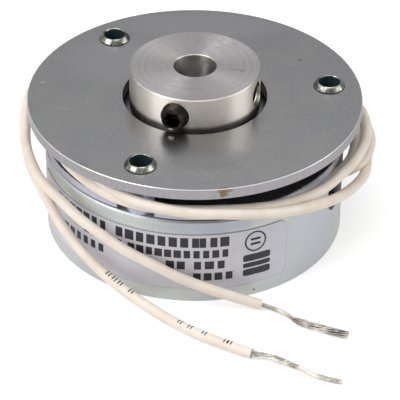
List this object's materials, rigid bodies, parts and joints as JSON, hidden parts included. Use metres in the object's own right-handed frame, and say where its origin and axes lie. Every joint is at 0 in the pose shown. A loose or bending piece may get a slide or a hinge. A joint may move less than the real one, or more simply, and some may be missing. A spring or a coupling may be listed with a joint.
{
  "type": "electromagnetic brake",
  "caption": "Spring-applied power-off electromagnetic brake: round field body with coil, armature plate, friction disc on a set-screw hub, end plate on hollow spacers and flying leads.",
  "frame": {"origin": "centre of the flat back face of the field body", "axes": "+Z along the shaft axis from the back face to the hub; -Y is the side that carries the middle of the label"},
  "size_m": [0.0548, 0.0692, 0.027],
  "materials": {
    "plate_zinc": "matt zinc plate",
    "spacer_zinc": "bright zinc plate",
    "hub_aluminium": "fine turned",
    "black_oxide": "black oxide",
    "carrier_steel": "rolled",
    "friction_lining": "moulded friction material",
    "armature_zinc": "zinc plate",
    "spring_steel": "drawn wire",
    "body_zinc": "bright zinc plate",
    "bobbin_nylon": "moulded",
    "copper_winding": "enamelled copper wire",
    "potting_resin": "cast resin",
    "grommet_rubber": "moulded",
    "label_film": "silver film",
    "lead_insulation": "extruded",
    "tinned_strands": "tinned copper strands"
  },
  "bodies": {
    "housing": {"end_plate": "plate_zinc", "spacer_front": "spacer_zinc", "spacer_right": "spacer_zinc", "spacer_rear": "spacer_zinc", "field_body": "body_zinc", "coil_bobbin": "bobbin_nylon", "coil_winding": "copper_winding", "coil_potting": "potting_resin", "lead_grommet": "grommet_rubber", "rating_label": "label_film", "spring_1": "spring_steel", "spring_2": "spring_steel", "spring_3": "spring_steel", "spring_4": "spring_steel", "spring_5": "spring_steel", "spring_6": "spring_steel", "lead_a": "lead_insulation", "lead_b": "lead_insulation", "strands_a": "tinned_strands", "strands_b": "tinned_strands"},
    "armature": {"armature_plate": "armature_zinc"},
    "rotor": {"hub": "hub_aluminium", "set_screws": "black_oxide"},
    "disc": {"friction_carrier": "carrier_steel", "lining_upper": "friction_lining", "lining_lower": "friction_lining"}
  },
  "joints": [
    {"name": "armature_pull", "type": "slide", "parent": "housing", "child": "armature", "axis": [0, 0, -1], "range_m": [0, 0.00025], "stiffness_N_per_m": 2000, "springref_m": -0.002, "deforming": ["spring_1", "spring_2", "spring_3", "spring_4", "spring_5", "spring_6"]},
    {"name": "hub_spin", "type": "hinge", "parent": "housing", "child": "rotor", "pos_m": [0, 0, 0.0215], "axis": [0, 0, 1], "continuous": true},
    {"name": "disc_float", "type": "slide", "parent": "rotor", "child": "disc", "axis": [0, 0, -1], "range_m": [0, 0.000125]}
  ],
  "couplings": [
    {"joint": "disc_float", "follows": "armature_pull", "ratio": 0.5}
  ]
}
